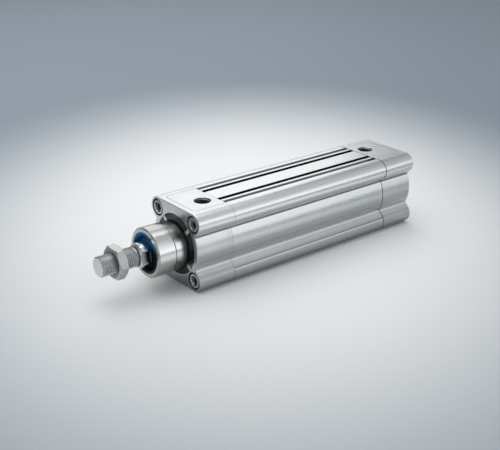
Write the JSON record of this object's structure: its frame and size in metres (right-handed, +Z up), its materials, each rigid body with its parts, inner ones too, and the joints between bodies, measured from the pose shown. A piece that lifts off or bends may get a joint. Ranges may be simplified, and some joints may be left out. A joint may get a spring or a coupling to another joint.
{
  "type": "pneumatic cylinder",
  "caption": "Double-acting pneumatic cylinder with a grooved profile barrel, square end caps, a round collar and a threaded piston rod that slides and turns.",
  "frame": {"origin": "centre of the bearing cap's front mounting face, on the cylinder's axis", "axes": "+X along the axis, the way the rod comes out; +Z up, to the side with the ports and the sensor slots; the cylinder lies on its flat -Z side"},
  "size_m": [0.3, 0.064, 0.064],
  "materials": {
    "barrel_aluminium": "satin anodised",
    "cap_aluminium": "satin die-cast",
    "screw_steel": "zinc plated",
    "wiper_polyurethane": "satin",
    "bush_bronze": "satin",
    "seal_rubber": "matt",
    "buffer_polyurethane": "matt",
    "guide_plastic": "matt",
    "rod_steel": "ground and hard-chromed",
    "piston_aluminium": "machined",
    "magnet_ferrite": "matt",
    "cushion_plastic": "satin",
    "nut_steel": "zinc plated"
  },
  "bodies": {
    "housing": {"barrel": "barrel_aluminium", "bearing_cap": "cap_aluminium", "end_cap": "cap_aluminium", "front_cap_screws": "screw_steel", "rear_cap_screws": "screw_steel", "rod_wiper": "wiper_polyurethane", "rod_bearing_bush": "bush_bronze", "front_cushion_seal": "seal_rubber", "rear_cushion_seal": "seal_rubber", "front_barrel_seal": "seal_rubber", "rear_barrel_seal": "seal_rubber", "front_buffer_ring": "buffer_polyurethane", "rear_buffer_ring": "buffer_polyurethane"},
    "piston_running_rings": {"piston_seal_front": "seal_rubber", "piston_seal_rear": "seal_rubber", "piston_guide_ring": "guide_plastic"},
    "rod_set": {"piston_rod": "rod_steel", "piston_front_half": "piston_aluminium", "piston_rear_half": "piston_aluminium", "piston_magnet": "magnet_ferrite", "rod_o_ring": "seal_rubber", "front_cushion_sleeve": "cushion_plastic", "rear_cushion_boss": "cushion_plastic", "piston_screw": "screw_steel"},
    "lock_nut": {"rod_nut": "nut_steel"}
  },
  "joints": [
    {"name": "rod_slide", "type": "slide", "parent": "housing", "child": "piston_running_rings", "axis": [1, 0, 0], "range_m": [0, 0.125]},
    {"name": "rod_turn", "type": "hinge", "parent": "piston_running_rings", "child": "rod_set", "pos_m": [0, 0, 0], "axis": [1, 0, 0], "continuous": true},
    {"name": "lock_nut_turn", "type": "hinge", "parent": "rod_set", "child": "lock_nut", "pos_m": [0.0535, 0, 0], "axis": [1, 0, 0], "continuous": true}
  ]
}
